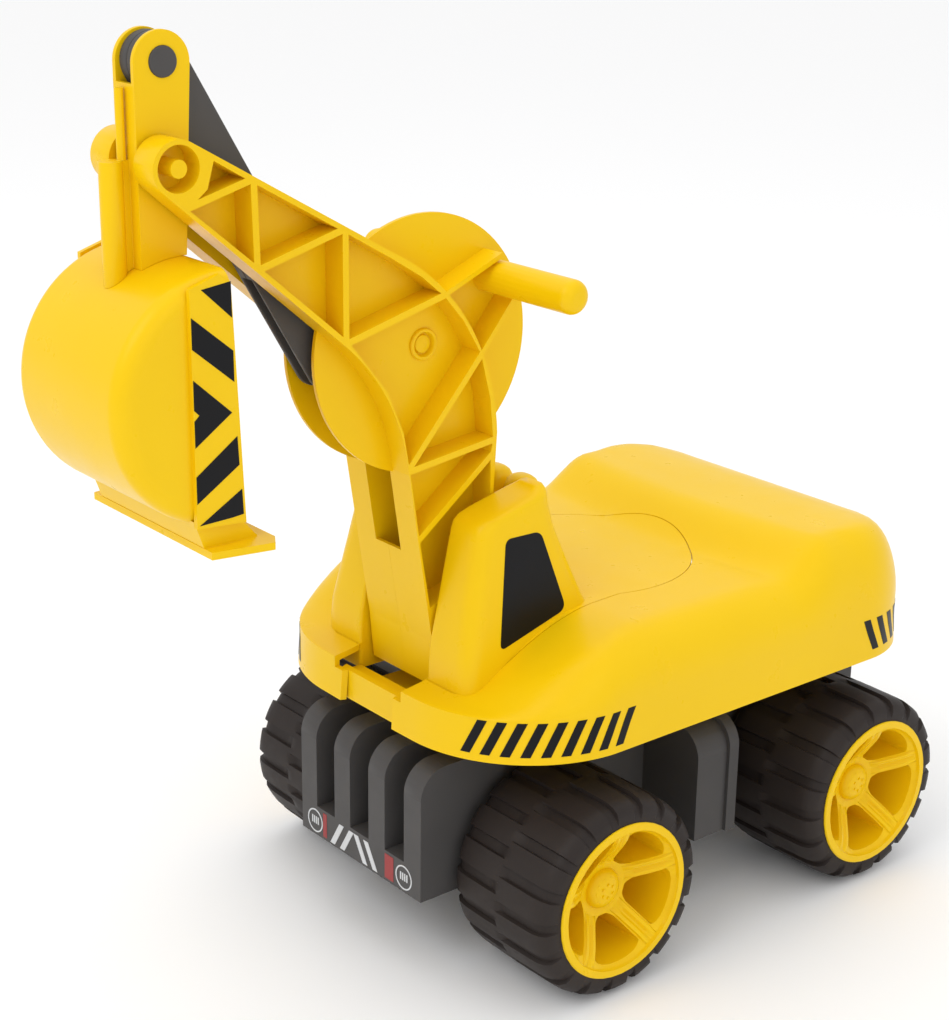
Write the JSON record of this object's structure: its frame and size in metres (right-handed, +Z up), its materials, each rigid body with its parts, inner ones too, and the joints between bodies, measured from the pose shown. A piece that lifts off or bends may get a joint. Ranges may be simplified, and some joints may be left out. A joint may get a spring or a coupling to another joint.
{
  "type": "ride-on toy excavator",
  "caption": "Child's four-wheeled ride-on toy excavator with a swinging seat body, twin cabs and a linked boom, stick and bucket worked by hand grips.",
  "frame": {"origin": "bottom centre of the whole toy's box, on the ground", "axes": "+Z up, the arm and bucket reach towards -Y, +X is the rider's left"},
  "size_m": [0.2934, 0.556, 0.5483],
  "materials": {
    "yellow_plastic": "glossy moulded plastic",
    "grey_plastic": "satin moulded plastic",
    "tyre_plastic": "matt moulded tread",
    "window_black": "glossy film",
    "steel": "plain"
  },
  "bodies": {
    "chassis": {"chassis_frame": "grey_plastic", "front_axle": "steel", "rear_axle": "steel", "swivel_ring": "grey_plastic", "swivel_bolt": "steel", "swivel_nut": "steel"},
    "upper_body": {"upper_body": "yellow_plastic", "cab_insert": "yellow_plastic", "window_left": "window_black", "window_right": "window_black", "boom_base_pin": "grey_plastic", "link_anchor": "grey_plastic", "link_lower_pin": "steel"},
    "boom": {"boom_half_left": "yellow_plastic", "boom_half_right": "yellow_plastic", "elbow_hub": "yellow_plastic", "boom_tip_pin": "grey_plastic"},
    "stick": {"stick": "yellow_plastic", "stick_head_pin": "grey_plastic", "bucket": "yellow_plastic"},
    "rod": {"rod_half_left": "grey_plastic", "rod_half_right": "grey_plastic"},
    "crank": {"bell_crank": "grey_plastic", "crank_rod_pin": "grey_plastic", "crank_link_pin": "steel"},
    "link": {"control_link": "grey_plastic"},
    "wheel_front_left": {"tyre_front_left": "tyre_plastic", "rim_front_left": "yellow_plastic", "hub_cap_front_left": "yellow_plastic"},
    "wheel_front_right": {"tyre_front_right": "tyre_plastic", "rim_front_right": "yellow_plastic", "hub_cap_front_right": "yellow_plastic"},
    "wheel_rear_left": {"tyre_rear_left": "tyre_plastic", "rim_rear_left": "yellow_plastic", "hub_cap_rear_left": "yellow_plastic"},
    "wheel_rear_right": {"tyre_rear_right": "tyre_plastic", "rim_rear_right": "yellow_plastic", "hub_cap_rear_right": "yellow_plastic"}
  },
  "joints": [
    {"name": "wheel_front_left_spin", "type": "hinge", "parent": "chassis", "child": "wheel_front_left", "pos_m": [0.1042, -0.018, 0.0618], "axis": [1, 0, 0], "continuous": true},
    {"name": "wheel_front_right_spin", "type": "hinge", "parent": "chassis", "child": "wheel_front_right", "pos_m": [-0.1042, -0.018, 0.0618], "axis": [1, 0, 0], "continuous": true},
    {"name": "wheel_rear_left_spin", "type": "hinge", "parent": "chassis", "child": "wheel_rear_left", "pos_m": [0.1042, 0.202, 0.0618], "axis": [1, 0, 0], "continuous": true},
    {"name": "wheel_rear_right_spin", "type": "hinge", "parent": "chassis", "child": "wheel_rear_right", "pos_m": [-0.1042, 0.202, 0.0618], "axis": [1, 0, 0], "continuous": true},
    {"name": "body_swing", "type": "hinge", "parent": "chassis", "child": "upper_body", "pos_m": [0, 0.092, 0.147], "axis": [0, 0, 1], "continuous": true},
    {"name": "boom_tilt", "type": "hinge", "parent": "upper_body", "child": "boom", "pos_m": [0, -0.043, 0.195], "axis": [1, 0, 0], "range_deg": [-8, 58]},
    {"name": "stick_tilt", "type": "hinge", "parent": "boom", "child": "stick", "pos_m": [0, -0.2256, 0.4842], "axis": [1, 0, 0], "range_deg": [-49.6, 7]},
    {"name": "rod_tilt", "type": "hinge", "parent": "stick", "child": "rod", "pos_m": [0, -0.2204, 0.533], "axis": [1, 0, 0], "range_deg": [-5.8, 40.8]},
    {"name": "crank_tilt", "type": "hinge", "parent": "boom", "child": "crank", "pos_m": [0, -0.0638, 0.3698], "axis": [1, 0, 0], "range_deg": [-5, 35.2]},
    {"name": "link_tilt", "type": "hinge", "parent": "crank", "child": "link", "pos_m": [0, -0.0418, 0.3778], "axis": [1, 0, 0], "range_deg": [-31.2, 4.5]}
  ],
  "couplings": [
    {"joint": "stick_tilt", "follows": "boom_tilt", "ratio": -0.849},
    {"joint": "rod_tilt", "follows": "boom_tilt", "ratio": 0.697},
    {"joint": "crank_tilt", "follows": "boom_tilt", "ratio": 0.6},
    {"joint": "link_tilt", "follows": "boom_tilt", "ratio": -0.532}
  ]
}
